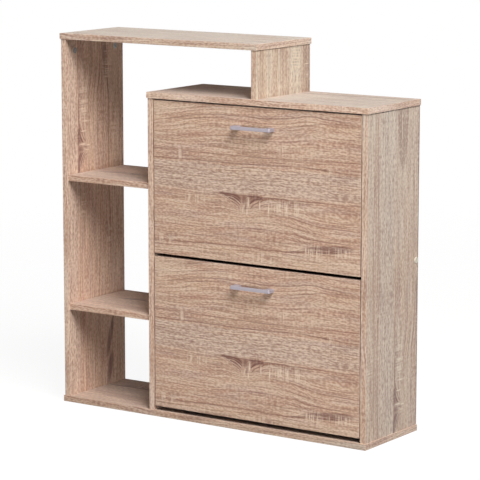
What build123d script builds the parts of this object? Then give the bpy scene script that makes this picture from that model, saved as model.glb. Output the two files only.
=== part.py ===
from build123d import *
import os
from math import cos, radians, sin, sqrt

# A shoe cabinet in board furniture. An open column of shelves stands on the left and two tip-out shoe
# flaps on the right. A raised top spans the column and part of the cabinet. Millimetres, +Z up, front at -Y,
# origin at the centre of the bottom panel's underside.

# Boards and overall size
BOARD = 15.0
WIDTH = 900.0
DEPTH = 240.0
OVERHANG = 2.5
EDGE_RADIUS = 0.8
CABINET_WIDTH = 633.0
CABINET_SIDE_HEIGHT = 777.0
RAISED_TOP_WIDTH = 591.0
RAISED_TOP_OVERHANG = 2.5
SHORT_UPRIGHT_HEIGHT = 116.0
LOWER_BAY_HEIGHT = 223.5
MIDDLE_BAY_HEIGHT = 314.0
SHELF_RECESS = 4.0
RAIL_HEIGHT = 60.0
RAIL_CENTRE_HEIGHT = 420.0
HARDBOARD = 3.0
BACK_PANEL_GAP = 1.0

# Flaps
FLAP_SIDE_GAP = 3.0
FLAP_TOP_GAP = 3.5
FLAP_MIDDLE_GAP = 8.0
FLAP_BOTTOM_GAP = 11.0
FLAP_RECESS = 1.0
FLAP_OPEN_ANGLE = 45.0
PIVOT_BEHIND_FLAP = 9.0
PIVOT_ABOVE_EDGE = 60.0

# Bow handle of each flap
HANDLE_CENTRES = 96.0
HANDLE_POST_WIDTH = 17.0
HANDLE_PROJECTION = 22.0
HANDLE_BAR_DEPTH = 6.0
HANDLE_HEIGHT = 8.5
HANDLE_BELOW_EDGE = 50.0
HANDLE_BEND_RADIUS = 3.0
HANDLE_EDGE_RADIUS = 1.0
HANDLE_SEAT_MARGIN = 1.0

# Shoe tray of each flap, measured from its pivot
TRAY_REAR_CLEARANCE = 10.0
TRAY_FLOOR_DROP = 38.0
TRAY_DIVIDER_TOP = 140.0
TRAY_REAR_WALL_TOP = 105.0
BRACKET_INSET = 1.5
BRACKET_PLATE = 5.0
BRACKET_RIM = 6.0
BRACKET_CORNER_RADIUS = 5.0
BRACKET_STRAP_WIDTH = 25.0
BRACKET_STRAP_TOP = 250.0
BRACKET_FLANGE_WIDTH = 20.0
BRACKET_FLANGE = 3.0
BRACKET_SCREW_HEIGHTS = (-21.0, 110.0, 235.0)
CHANNEL_DEPTH = 12.0
CHANNEL_RIB = 2.0
CHANNEL_FIT = 0.15
CHANNEL_LEDGE_GAP = 6.0
TRAY_END_FIT = 0.3

# Pivot pins and the guide pins that end each flap's swing
PIVOT_PIN_RADIUS = 4.0
PIVOT_RUNNING_FIT = 0.06
PIVOT_BOSS_RADIUS = 8.5
PIVOT_BOSS_LENGTH = 11.0
PIVOT_COLLAR_RADIUS = 7.5
PIVOT_COLLAR_FIT = 0.3
GUIDE_PIN_RADIUS = 3.0
GUIDE_GROOVE_FIT = 0.35
GUIDE_GROOVE_DEPTH = 2.5
GUIDE_RADIUS = 120.0
GUIDE_SHUT_ANGLE = 52.0
PIN_SKIN = 4.0

# Fasteners between the boards
FIX_FRONT = 37.0
FIX_REAR = 32.0
FASTENER_FIT = 0.1
CAM_RADIUS = 7.5
CAM_SKIN = 2.5
CAM_BELOW_EDGE = 30.0
CAM_CROSS_WIDTH = 1.8
CAM_CROSS_LENGTH = 8.0
CAM_CROSS_DEPTH = 2.0
CAM_BOLT_RADIUS = 3.4
CAM_BOLT_PAST_CENTRE = 2.0
CAM_BOLT_THREAD_RADIUS = 2.9
CAM_BOLT_THREAD_LENGTH = 11.0
DOWEL_RADIUS = 4.0
DOWEL_IN_FACE = 10.0
DOWEL_IN_EDGE = 20.0
RAIL_DOWEL_DROP = 18.0
BOARD_SCREW_LENGTH = 50.0
BOARD_SCREW_HEAD_RADIUS = 5.0
BOARD_SCREW_HEAD = 4.0
BOARD_SCREW_SHANK_RADIUS = 3.5
BOARD_SCREW_THREAD_RADIUS = 3.2
BOARD_SCREW_SINK = 0.4
SOCKET_RADIUS = 2.3
SOCKET_DEPTH = 3.0
CAP_RADIUS = 8.0
CAP_HEIGHT = 1.8
CAP_EDGE_RADIUS = 1.2
CAP_STEM_RADIUS = 1.7
CAP_STEM_LENGTH = 2.4
NAIL_HEAD_RADIUS = 2.5
NAIL_HEAD = 0.8
NAIL_SHANK_RADIUS = 0.7
NAIL_SHANK = 18.0
NAIL_SPACING = 130.0
TRAY_SCREW_HEAD_RADIUS = 3.5
TRAY_SCREW_HEAD = 2.4
TRAY_SCREW_RADIUS = 1.7
TRAY_SCREW_LENGTH = 12.0
HANDLE_SCREW_HEAD_RADIUS = 4.0
HANDLE_SCREW_HEAD = 2.6
HANDLE_SCREW_RADIUS = 2.0
HANDLE_SCREW_GRIP = 8.0
CROSS_WIDTH = 0.9
CROSS_LENGTH = 4.0
CROSS_DEPTH = 1.2

LEFT = Vector(-1, 0, 0)
RIGHT = Vector(1, 0, 0)
FRONT = Vector(0, -1, 0)
UP = Vector(0, 0, 1)
DOWN = Vector(0, 0, -1)

# Planes that the boards share
bottom_left = -WIDTH / 2
bottom_right = WIDTH / 2
top_front = -DEPTH / 2
top_rear = DEPTH / 2
upright_front = top_front + OVERHANG
upright_rear = top_rear - HARDBOARD
column_left = bottom_left + OVERHANG + BOARD
cabinet_left = bottom_right - CABINET_WIDTH
column_right = cabinet_left + OVERHANG
inside_left = column_right + BOARD
cabinet_right = bottom_right - OVERHANG
inside_right = cabinet_right - BOARD
upright_bottom = BOARD
cabinet_ceiling = upright_bottom + CABINET_SIDE_HEIGHT
cabinet_roof = cabinet_ceiling + BOARD
raised_ceiling = cabinet_roof + SHORT_UPRIGHT_HEIGHT
raised_roof = raised_ceiling + BOARD
raised_right = bottom_left + RAISED_TOP_WIDTH
short_right = raised_right - RAISED_TOP_OVERHANG
short_left = short_right - BOARD
lower_shelf_bottom = upright_bottom + LOWER_BAY_HEIGHT
upper_shelf_bottom = lower_shelf_bottom + BOARD + MIDDLE_BAY_HEIGHT
rail_front = upright_rear - BOARD
rail_middle = upright_rear - BOARD / 2
fix_front = upright_front + FIX_FRONT
fix_rear = upright_rear - FIX_REAR
fix_middle = (fix_front + fix_rear) / 2

# Planes of the flaps and their trays
flap_height = (CABINET_SIDE_HEIGHT - FLAP_TOP_GAP - FLAP_MIDDLE_GAP - FLAP_BOTTOM_GAP) / 2
flap_left = inside_left + FLAP_SIDE_GAP
flap_right = inside_right - FLAP_SIDE_GAP
flap_centre = (flap_left + flap_right) / 2
flap_front = upright_front + FLAP_RECESS
flap_back = flap_front + BOARD
flap_bottoms = {
    "lower": upright_bottom + FLAP_BOTTOM_GAP,
    "upper": upright_bottom + FLAP_BOTTOM_GAP + flap_height + FLAP_MIDDLE_GAP,
}
pivot_depth = flap_back + PIVOT_BEHIND_FLAP
bracket_gap = FLAP_SIDE_GAP + BRACKET_INSET
bracket_bottom = TRAY_FLOOR_DROP + BRACKET_RIM
swing_radius = rail_front - TRAY_REAR_CLEARANCE - pivot_depth
tray_rear = pivot_depth + sqrt(swing_radius**2 - bracket_bottom**2)
rear_wall_front = tray_rear - BRACKET_RIM - HARDBOARD
divider_front = (flap_back + rear_wall_front) / 2 - HARDBOARD
board_left = flap_left + BRACKET_INSET + BRACKET_PLATE + TRAY_END_FIT
board_right = flap_right - BRACKET_INSET - BRACKET_PLATE - TRAY_END_FIT

parts = {}
holes = {}


def box(x, y, z):
    """A block between pairs of x, y and z planes."""
    size = (x[1] - x[0], y[1] - y[0], z[1] - z[0])
    return Pos(x[0], y[0], z[0]) * Box(*size, align=(Align.MIN, Align.MIN, Align.MIN))


def front_edges(solid, axis):
    """The two front edges of a board along one axis."""
    return solid.edges().filter_by(axis).group_by(Axis.Y)[0]


def turned(start, direction, steps):
    """Coaxial cylinders, each step a radius and a length, one after another from a point."""
    base = Plane(origin=start, z_dir=direction)
    rod = None
    along = 0.0
    for radius, length in steps:
        step = base * Pos(0, 0, along) * Cylinder(
            radius, length, align=(Align.CENTER, Align.CENTER, Align.MIN)
        )
        rod = step if rod is None else rod + step
        along += length
    return rod


def bore(start, direction, steps, fit, boards):
    """Drills the same steps, wider by a fit, in each named board."""
    wide = [(radius + fit, length) for radius, length in steps]
    wide[-1] = (wide[-1][0], wide[-1][1] + fit)
    for name in boards:
        holes.setdefault(name, []).append(turned(start, direction, wide))


def add_to_group(group, solid):
    """Adds one solid to a node that holds several alike."""
    parts.setdefault(group, []).append(solid)


def cross_recess(start, direction, length, width, depth):
    """A cross cut into a head, from its face inwards."""
    face = Plane(origin=start, z_dir=direction)
    arms = [
        Box(length, width, depth, align=(Align.CENTER, Align.CENTER, Align.MIN)),
        Box(width, length, depth, align=(Align.CENTER, Align.CENTER, Align.MIN)),
    ]
    return face * (arms[0] + arms[1])


def board_screw(start, direction, boards, capped=False):
    """A long screw through one board into the edge of the next, under a cover cap where it shows."""
    shank = BOARD - BOARD_SCREW_SINK - BOARD_SCREW_HEAD
    thread = BOARD_SCREW_LENGTH - BOARD_SCREW_HEAD - shank
    steps = [
        (BOARD_SCREW_HEAD_RADIUS, BOARD_SCREW_HEAD),
        (BOARD_SCREW_SHANK_RADIUS, shank),
        (BOARD_SCREW_THREAD_RADIUS, thread),
    ]
    head = start + direction * BOARD_SCREW_SINK
    socket = Plane(origin=head, z_dir=direction) * extrude(RegularPolygon(SOCKET_RADIUS, 6), SOCKET_DEPTH)
    add_to_group("board_screws", turned(head, direction, steps) - socket)
    sunk = [(BOARD_SCREW_HEAD_RADIUS, BOARD_SCREW_SINK + BOARD_SCREW_HEAD)] + steps[1:]
    bore(start, direction, sunk, FASTENER_FIT, boards)
    if capped:
        disc = Cylinder(CAP_RADIUS, CAP_HEIGHT, align=(Align.CENTER, Align.CENTER, Align.MIN))
        disc = fillet(disc.edges().group_by(Axis.Z)[-1], CAP_EDGE_RADIUS)
        dome = Plane(origin=start, z_dir=-direction) * disc
        stem = turned(start, direction, [(CAP_STEM_RADIUS, BOARD_SCREW_SINK + CAP_STEM_LENGTH)])
        add_to_group("cover_caps", dome + stem)


def dowel(joint, into_edge, boards):
    """A wooden dowel, part in a board's face and part in the edge that meets it."""
    start = joint - into_edge * DOWEL_IN_FACE
    steps = [(DOWEL_RADIUS, DOWEL_IN_FACE + DOWEL_IN_EDGE)]
    add_to_group("dowels", turned(start, into_edge, steps))
    bore(start, into_edge, steps, FASTENER_FIT, boards)


def cam_joint(face, into_board, depth, underside, upright, top):
    """A cam lock in an upright's face, drawing down the bolt that is screwed into the top."""
    length = BOARD - CAM_SKIN
    middle = face + into_board.X * BOARD / 2
    centre = Vector(face, depth, underside - CAM_BELOW_EDGE)
    cam_steps = [(CAM_RADIUS - FASTENER_FIT, length)]
    bolt_bottom = Vector(middle, depth, centre.Z - CAM_BOLT_PAST_CENTRE)
    shank = underside - bolt_bottom.Z
    bolt_steps = [(CAM_BOLT_RADIUS, shank), (CAM_BOLT_THREAD_RADIUS, CAM_BOLT_THREAD_LENGTH)]
    bolt_room = turned(bolt_bottom + DOWN * FASTENER_FIT, UP, [(CAM_BOLT_RADIUS + FASTENER_FIT, shank)])
    cross = cross_recess(centre, into_board, CAM_CROSS_LENGTH, CAM_CROSS_WIDTH, CAM_CROSS_DEPTH)
    add_to_group("cam_locks", turned(centre, into_board, cam_steps) - bolt_room - cross)
    add_to_group("cam_bolts", turned(bolt_bottom, UP, bolt_steps))
    bore(centre, into_board, cam_steps, FASTENER_FIT, [upright])
    bore(bolt_bottom, UP, bolt_steps, FASTENER_FIT, [upright, top])


def nail(x, z, boards):
    """A nail through the hardboard back, with its head on the outside."""
    seat = Vector(x, top_rear, z)
    add_to_group("back_nails", turned(
        seat - FRONT * NAIL_HEAD, FRONT, [(NAIL_HEAD_RADIUS, NAIL_HEAD), (NAIL_SHANK_RADIUS, NAIL_SHANK)]
    ))
    bore(seat, FRONT, [(NAIL_SHANK_RADIUS, NAIL_SHANK)], FASTENER_FIT, boards)


def spread(low, high):
    """Nail places between two ends, about one spacing apart and half a step from each end."""
    count = max(2, round((high - low) / NAIL_SPACING))
    step = (high - low) / count
    return [low + (index + 0.5) * step for index in range(count)]


def make_flat_boards():
    """Bottom, tops and shelves, with their grain from left to right."""
    depth = (top_front, top_rear)
    flat = {
        "bottom_panel": box((bottom_left, bottom_right), depth, (0, BOARD)),
        "cabinet_top": box((cabinet_left, bottom_right), depth, (cabinet_ceiling, cabinet_roof)),
        "raised_top": box((bottom_left, raised_right), depth, (raised_ceiling, raised_roof)),
    }
    for name, solid in flat.items():
        parts[name] = fillet(solid.edges(), EDGE_RADIUS)
    for name, bottom in (("lower_shelf", lower_shelf_bottom), ("upper_shelf", upper_shelf_bottom)):
        across = (column_left, column_right)
        shelf = box(across, (upright_front + SHELF_RECESS, upright_rear), (bottom, bottom + BOARD))
        parts[name] = fillet(front_edges(shelf, Axis.X), EDGE_RADIUS)


def make_uprights():
    """Side, middle and short uprights, and the rail across the back of the cabinet."""
    depth = (upright_front, upright_rear)
    uprights = {
        "left_side_panel": (column_left - BOARD, upright_bottom, raised_ceiling),
        "middle_panel": (column_right, upright_bottom, cabinet_ceiling),
        "right_side_panel": (inside_right, upright_bottom, cabinet_ceiling),
        "short_upright": (short_left, cabinet_roof, raised_ceiling),
    }
    for name, (left, bottom, top) in uprights.items():
        solid = box((left, left + BOARD), depth, (bottom, top))
        parts[name] = fillet(front_edges(solid, Axis.Z), EDGE_RADIUS)
    half = RAIL_HEIGHT / 2
    rail_span = (RAIL_CENTRE_HEIGHT - half, RAIL_CENTRE_HEIGHT + half)
    parts["rear_rail"] = box((inside_left, inside_right), (rail_front, upright_rear), rail_span)


def make_back_panels():
    """Two hardboard backs that meet on the rail, nailed to it and to the uprights."""
    split = RAIL_CENTRE_HEIGHT
    half_gap = BACK_PANEL_GAP / 2
    spans = {
        "lower_back_panel": (upright_bottom + half_gap, split - half_gap, split - RAIL_HEIGHT / 4),
        "upper_back_panel": (split + half_gap, cabinet_ceiling - half_gap, split + RAIL_HEIGHT / 4),
    }
    across = (column_right + half_gap, cabinet_right - half_gap)
    edges = {"middle_panel": column_right + BOARD / 2, "right_side_panel": cabinet_right - BOARD / 2}
    for name, (bottom, top, rail_row) in spans.items():
        parts[name] = box(across, (upright_rear, top_rear), (bottom, top))
        for upright, x in edges.items():
            for z in spread(bottom, top):
                nail(x, z, [name, upright])
        for x in spread(inside_left, inside_right):
            nail(x, rail_row, [name, "rear_rail"])


def join_boards():
    """Screws, dowels and cam locks between the boards."""
    feet = {
        "left_side_panel": column_left - BOARD / 2,
        "middle_panel": column_right + BOARD / 2,
        "right_side_panel": inside_right + BOARD / 2,
    }
    for name, x in feet.items():
        for y in (fix_front, fix_rear):
            board_screw(Vector(x, y, 0), UP, ["bottom_panel", name])
        dowel(Vector(x, fix_middle, upright_bottom), UP, ["bottom_panel", name])

    short_middle = short_left + BOARD / 2
    heads = (
        ("left_side_panel", column_left, LEFT, raised_ceiling, "raised_top"),
        ("short_upright", short_left, RIGHT, raised_ceiling, "raised_top"),
        ("middle_panel", inside_left, LEFT, cabinet_ceiling, "cabinet_top"),
        ("right_side_panel", inside_right, RIGHT, cabinet_ceiling, "cabinet_top"),
    )
    for upright, face, into_board, underside, top in heads:
        for y in (fix_front, fix_rear):
            cam_joint(face, into_board, y, underside, upright, top)
        dowel(Vector(face + into_board.X * BOARD / 2, fix_middle, underside), DOWN, [upright, top])
    for y in (fix_front, fix_rear):
        board_screw(Vector(short_middle, y, cabinet_ceiling), UP, ["cabinet_top", "short_upright"])

    for name, bottom in (("lower_shelf", lower_shelf_bottom), ("upper_shelf", upper_shelf_bottom)):
        z = bottom + BOARD / 2
        for y in (fix_front, fix_rear):
            board_screw(Vector(column_left - BOARD, y, z), RIGHT, ["left_side_panel", name], capped=True)
            board_screw(Vector(inside_left, y, z), LEFT, ["middle_panel", name])

    rail_ends = (("middle_panel", column_right, RIGHT), ("right_side_panel", cabinet_right, LEFT))
    for upright, face, inwards in rail_ends:
        outside = Vector(face, rail_middle, RAIL_CENTRE_HEIGHT)
        board_screw(outside, inwards, [upright, "rear_rail"], capped=True)
        dowel(outside + inwards * BOARD + DOWN * RAIL_DOWEL_DROP, inwards, [upright, "rear_rail"])


def bracket_outline(pivot):
    """Side plate of a tray, seen from the left: y to the back and z up."""
    top = pivot + TRAY_REAR_WALL_TOP + BRACKET_RIM
    crest = divider_front + HARDBOARD + BRACKET_RIM
    strap = pivot + BRACKET_STRAP_TOP
    bottom = pivot - bracket_bottom
    corners = [
        (flap_back, bottom),
        (tray_rear, bottom),
        (tray_rear, top),
        (crest, pivot + TRAY_DIVIDER_TOP + BRACKET_RIM),
        (flap_back + BRACKET_STRAP_WIDTH, strap),
        (flap_back, strap),
    ]
    face = make_face(Polyline(*corners, close=True))
    off_flap = face.vertices().sort_by(Axis.X)[2:]
    return fillet(off_flap, BRACKET_CORNER_RADIUS)


def left_bracket(pivot):
    """Moulded side of a tray: plate, screw flange, pivot boss, guide groove and board channels."""
    outside = flap_left + BRACKET_INSET
    inside = outside + BRACKET_PLATE
    at_pivot = Vector(outside, pivot_depth, pivot)
    side = Plane(origin=(outside, 0, 0), x_dir=(0, 1, 0), z_dir=(1, 0, 0))
    solid = extrude(side * bracket_outline(pivot), BRACKET_PLATE, dir=RIGHT)
    strap = (pivot - bracket_bottom, pivot + BRACKET_STRAP_TOP)
    solid += box((outside, outside + BRACKET_FLANGE_WIDTH), (flap_back, flap_back + BRACKET_FLANGE), strap)
    solid += turned(at_pivot, RIGHT, [(PIVOT_BOSS_RADIUS, PIVOT_BOSS_LENGTH)])

    across = (inside, inside + CHANNEL_DEPTH)
    floor = pivot - TRAY_FLOOR_DROP
    on_floor = floor + HARDBOARD + CHANNEL_FIT
    ledge = (flap_back + BRACKET_FLANGE, tray_rear - BRACKET_RIM)
    solid += box(across, ledge, (floor - CHANNEL_FIT - CHANNEL_RIB, floor - CHANNEL_FIT))
    lip_front = flap_back + BRACKET_FLANGE + CHANNEL_LEDGE_GAP
    lips = (
        (lip_front, divider_front - CHANNEL_LEDGE_GAP),
        (divider_front + HARDBOARD + CHANNEL_LEDGE_GAP, rear_wall_front - CHANNEL_LEDGE_GAP),
    )
    for lip in lips:
        solid += box(across, lip, (on_floor, on_floor + CHANNEL_RIB))
    for face, top in ((divider_front, TRAY_DIVIDER_TOP), (rear_wall_front, TRAY_REAR_WALL_TOP)):
        near = face - CHANNEL_FIT
        far = face + HARDBOARD + CHANNEL_FIT
        upright = (on_floor, pivot + top)
        solid += box(across, (near - CHANNEL_RIB, near), upright)
        solid += box(across, (far, far + CHANNEL_RIB), upright)

    swing = CenterArc((pivot_depth, pivot), GUIDE_RADIUS, GUIDE_SHUT_ANGLE - FLAP_OPEN_ANGLE, FLAP_OPEN_ANGLE)
    groove = SlotArc(swing, 2 * (GUIDE_PIN_RADIUS + GUIDE_GROOVE_FIT))
    solid -= extrude(side * groove, GUIDE_GROOVE_DEPTH, dir=RIGHT)
    return solid - turned(at_pivot, RIGHT, [(PIVOT_PIN_RADIUS + PIVOT_RUNNING_FIT, PIVOT_BOSS_LENGTH)])


def make_handle(name, top):
    """Bow handle with a post at each end, held by two screws through the flap."""
    z = top - HANDLE_BELOW_EDGE
    half = (HANDLE_CENTRES + HANDLE_POST_WIDTH) / 2
    span = (z - HANDLE_HEIGHT / 2, z + HANDLE_HEIGHT / 2)
    grip = flap_front - HANDLE_PROJECTION
    inner = half - HANDLE_POST_WIDTH
    bow = box((flap_centre - half, flap_centre + half), (grip, flap_front), span)
    bow -= box((flap_centre - inner, flap_centre + inner), (grip + HANDLE_BAR_DEPTH, flap_front), span)
    off_seat = flap_front - HANDLE_SEAT_MARGIN
    bends = bow.edges().filter_by(Axis.Z).filter_by(lambda edge: edge.center().Y < off_seat)
    bow = fillet(bends, HANDLE_BEND_RADIUS)
    soft = bow.edges().filter_by(Axis.Z, reverse=True).filter_by(lambda edge: edge.center().Y < off_seat)
    parts[name + "_handle"] = fillet(soft, HANDLE_EDGE_RADIUS)
    for side in (-1, 1):
        seat = Vector(flap_centre + side * HANDLE_CENTRES / 2, flap_back, z)
        head = seat - FRONT * HANDLE_SCREW_HEAD
        shank = [(HANDLE_SCREW_RADIUS, BOARD + HANDLE_SCREW_GRIP)]
        screw = turned(head, FRONT, [(HANDLE_SCREW_HEAD_RADIUS, HANDLE_SCREW_HEAD)] + shank)
        recess = cross_recess(head, FRONT, CROSS_LENGTH, CROSS_WIDTH, CROSS_DEPTH)
        add_to_group(name + "_handle_screws", screw - recess)
        bore(seat, FRONT, shank, FASTENER_FIT, [name + "_flap_front", name + "_handle"])


def make_tray(name, pivot):
    """Two brackets on the back of a flap, and the three boards that they hold."""
    left = left_bracket(pivot)
    parts[name + "_left_bracket"] = left
    parts[name + "_right_bracket"] = mirror(left, about=Plane.YZ.offset(flap_centre))
    across = (board_left, board_right)
    floor = pivot - TRAY_FLOOR_DROP
    floor_depth = (flap_back + BRACKET_FLANGE + TRAY_END_FIT, tray_rear - BRACKET_RIM)
    parts[name + "_tray_floor"] = box(across, floor_depth, (floor, floor + HARDBOARD))
    walls = (
        ("_tray_divider", divider_front, TRAY_DIVIDER_TOP),
        ("_tray_rear_wall", rear_wall_front, TRAY_REAR_WALL_TOP),
    )
    for suffix, face, top in walls:
        parts[name + suffix] = box(across, (face, face + HARDBOARD), (floor + HARDBOARD, pivot + top))
    inset = BRACKET_INSET + (BRACKET_PLATE + BRACKET_FLANGE_WIDTH) / 2
    for side, x in (("left", flap_left + inset), ("right", flap_right - inset)):
        for height in BRACKET_SCREW_HEIGHTS:
            seat = Vector(x, flap_back + BRACKET_FLANGE, pivot + height)
            head = seat - FRONT * TRAY_SCREW_HEAD
            shank = [(TRAY_SCREW_RADIUS, TRAY_SCREW_LENGTH)]
            screw = turned(head, FRONT, [(TRAY_SCREW_HEAD_RADIUS, TRAY_SCREW_HEAD)] + shank)
            recess = cross_recess(head, FRONT, CROSS_LENGTH, CROSS_WIDTH, CROSS_DEPTH)
            add_to_group(name + "_tray_screws", screw - recess)
            bore(seat, FRONT, shank, FASTENER_FIT, [name + "_flap_front", f"{name}_{side}_bracket"])


def make_pins(pivot):
    """Pivot and guide pins of one flap, set in the panels on each side of it."""
    angle = radians(GUIDE_SHUT_ANGLE)
    guide_y = pivot_depth + GUIDE_RADIUS * cos(angle)
    guide_z = pivot + GUIDE_RADIUS * sin(angle)
    root = BOARD - PIN_SKIN
    sides = (("middle_panel", inside_left, RIGHT), ("right_side_panel", inside_right, LEFT))
    for panel, face, inwards in sides:
        at_pivot = Vector(face, pivot_depth, pivot)
        collar = bracket_gap - PIVOT_COLLAR_FIT
        nose = PIVOT_COLLAR_FIT + PIVOT_BOSS_LENGTH
        shape = turned(at_pivot - inwards * root, inwards, [(PIVOT_PIN_RADIUS, root)])
        shape += turned(at_pivot, inwards, [(PIVOT_COLLAR_RADIUS, collar), (PIVOT_PIN_RADIUS, nose)])
        add_to_group("pivot_pins", shape)
        bore(at_pivot, -inwards, [(PIVOT_PIN_RADIUS, root)], FASTENER_FIT, [panel])

        at_guide = Vector(face, guide_y, guide_z)
        reach = bracket_gap + GUIDE_GROOVE_DEPTH - GUIDE_GROOVE_FIT
        guide = turned(at_guide - inwards * root, inwards, [(GUIDE_PIN_RADIUS, root + reach)])
        add_to_group("guide_pins", guide)
        bore(at_guide, -inwards, [(GUIDE_PIN_RADIUS, root)], FASTENER_FIT, [panel])


def make_flap(name, bottom):
    """One tip-out flap: front, handle and tray, and the pins that it swings on."""
    top = bottom + flap_height
    pivot = bottom + PIVOT_ABOVE_EDGE
    front = box((flap_left, flap_right), (flap_front, flap_back), (bottom, top))
    parts[name + "_flap_front"] = fillet(front.edges(), EDGE_RADIUS)
    make_handle(name, top)
    make_tray(name, pivot)
    make_pins(pivot)


def export_parts():
    """Cuts every hole and writes one file for each node."""
    os.makedirs("parts", exist_ok=True)
    for name, shape in parts.items():
        if name in holes:
            shape = shape - holes[name]
        if isinstance(shape, list):
            shape = Compound(children=shape)
        export_step(shape, f"parts/{name}.step")


make_flat_boards()
make_uprights()
make_back_panels()
join_boards()
for flap_name, flap_bottom in flap_bottoms.items():
    make_flap(flap_name, flap_bottom)
export_parts()
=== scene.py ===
import math
from collections import namedtuple
from functools import reduce

import bpy
from bpy.props import FloatProperty, FloatVectorProperty, PointerProperty
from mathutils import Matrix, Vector


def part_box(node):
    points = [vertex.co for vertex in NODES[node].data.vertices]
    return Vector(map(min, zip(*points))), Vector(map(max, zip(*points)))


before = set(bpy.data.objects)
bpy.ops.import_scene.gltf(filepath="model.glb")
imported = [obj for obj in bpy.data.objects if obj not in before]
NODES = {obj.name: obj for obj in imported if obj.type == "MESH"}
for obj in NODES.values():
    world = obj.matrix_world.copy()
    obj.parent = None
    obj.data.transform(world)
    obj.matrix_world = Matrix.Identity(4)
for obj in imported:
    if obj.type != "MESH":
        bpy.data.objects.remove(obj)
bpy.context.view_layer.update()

bl_info = {
    "name": "Shoe Cabinet Dresser",
    "version": (1, 0, 0),
    "blender": (4, 5, 0),
    "location": "View3D > Sidebar > Shoe Cabinet",
    "description": "Dresses the shoe cabinet's boards, flaps and fittings and sets its studio stage",
    "category": "Object",
}

# Pieces that share a finish
FLAPS = ("upper", "lower")
BACKS = ("upper_back_panel", "lower_back_panel")
TRAY_BOARDS = tuple(f"{flap}_tray_{board}" for flap in FLAPS for board in ("floor", "divider", "rear_wall"))
BRACKETS = tuple(f"{flap}_{hand}_bracket" for flap in FLAPS for hand in ("left", "right"))
HANDLES = tuple(f"{flap}_handle" for flap in FLAPS)
FLAP_SCREWS = tuple(f"{flap}_{screws}" for flap in FLAPS for screws in ("handle_screws", "tray_screws"))
CARCASS_STEEL = ("cam_locks", "cam_bolts", "board_screws", "back_nails", "pivot_pins", "guide_pins")

# Where each board was cut from the printed oak sheet: the sheet's along and across at the row frame's origin
# in metres, which axis of the row frame runs along, across and through the board, the strip of the sheet that
# its edge bands come from, and the tones that its faces and its edge bands are multiplied by in red, green
# and blue. On the shelves, the left and right side panels and the raised top the face tone is painted light.
PLAIN_STRIP = 0.076
PALE_STRIP = 0.096
STRAW_STRIP = 0.345
PLAIN_TONE = (1.0, 1.0, 1.0)
PALE_EDGE = (1.08, 1.10, 1.13)
# Painted light: the shelves' faces are lighter and warmer, standing in for fuller, warmer light in the open
# bays
SHELF_LIGHT_TONE = (1.07, 1.02, 0.975)
Cut = namedtuple(
    "Cut", "along across run width thickness edge tone edge_tone",
    defaults=(PLAIN_STRIP, PLAIN_TONE, PLAIN_TONE),
)
FLAT = ("X", "Y", "Z")
UPRIGHT = ("Z", "Y", "X")
FRONT = ("X", "Z", "Y")
CUTS = {
    "bottom_panel": Cut(0.620, 0.168, *FLAT, tone=(0.98, 0.95, 0.92)),
    "lower_shelf": Cut(0.570, 0.193, *FLAT, tone=SHELF_LIGHT_TONE),
    "upper_shelf": Cut(0.604, 0.228, *FLAT, tone=SHELF_LIGHT_TONE),
    # The two tops are cut across the sheet's pale band of painted sheen; the raised top's face tone, paler
    # still, is painted sheen too
    "cabinet_top": Cut(-0.005, 0.585, *FLAT, edge=PALE_STRIP, edge_tone=PALE_EDGE),
    "raised_top": Cut(0.850, 0.530, *FLAT, tone=(1.13, 1.15, 1.16), edge_tone=(0.98, 1.02, 1.05)),
    # Painted light: the left side panel's faces are warmer, standing in for warm light bounced onto its
    # shaded inner face
    "left_side_panel": Cut(
        -0.376, 0.2835, *UPRIGHT, edge=PALE_STRIP, tone=(1.03, 0.99, 0.96), edge_tone=PALE_EDGE,
    ),
    "middle_panel": Cut(-0.100, 0.190, *UPRIGHT, edge=PALE_STRIP, edge_tone=PALE_EDGE),
    # Painted sheen: the right side panel's faces are greyer, standing in for the whiter light and sheen on
    # that side
    "right_side_panel": Cut(0.195, 0.2005, *UPRIGHT, tone=(0.94, 1.01, 1.03), edge_tone=(1.02, 1.06, 1.09)),
    "short_upright": Cut(0.253, 0.1275, *UPRIGHT, edge=STRAW_STRIP, tone=(0.90, 0.925, 0.89)),
    "rear_rail": Cut(0.300, 0.500, *FRONT),
    "upper_flap_front": Cut(0.1625, 0.789, *FRONT),
    "lower_flap_front": Cut(0.1585, 0.390, *FRONT),
}

# A point faces an axis where its normal has more than this along it
FACING = 0.6

# Drawn features of the printed sheet, in metres along and across it, with tilts in radians
Patch = namedtuple("Patch", "along across half_along half_across tilt", defaults=(0.0,))
Stroke = namedtuple("Stroke", "depth half_width points")
Band = namedtuple("Band", "tone share stops")
Bend = namedtuple("Bend", "level stops points")
GREY_BAND = (0.143, 0.147, 0.203, 0.213)
TONE_BANDS = (
    Band("straw", 0.45, (0.048, 0.054, 0.062, 0.070)),
    Band("straw", 0.40, (0.080, 0.088, 0.104, 0.112)),
    Band("rust", 0.35, (0.108, 0.116, 0.141, 0.145)),
    Band("weathered", 0.75, GREY_BAND),
    Band("rust", 0.30, (0.212, 0.214, 0.245, 0.270)),
    Band("rust", 0.20, (0.285, 0.295, 0.335, 0.345)),
    Band("straw", 0.45, (0.342, 0.350, 0.400, 0.420)),
)
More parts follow.
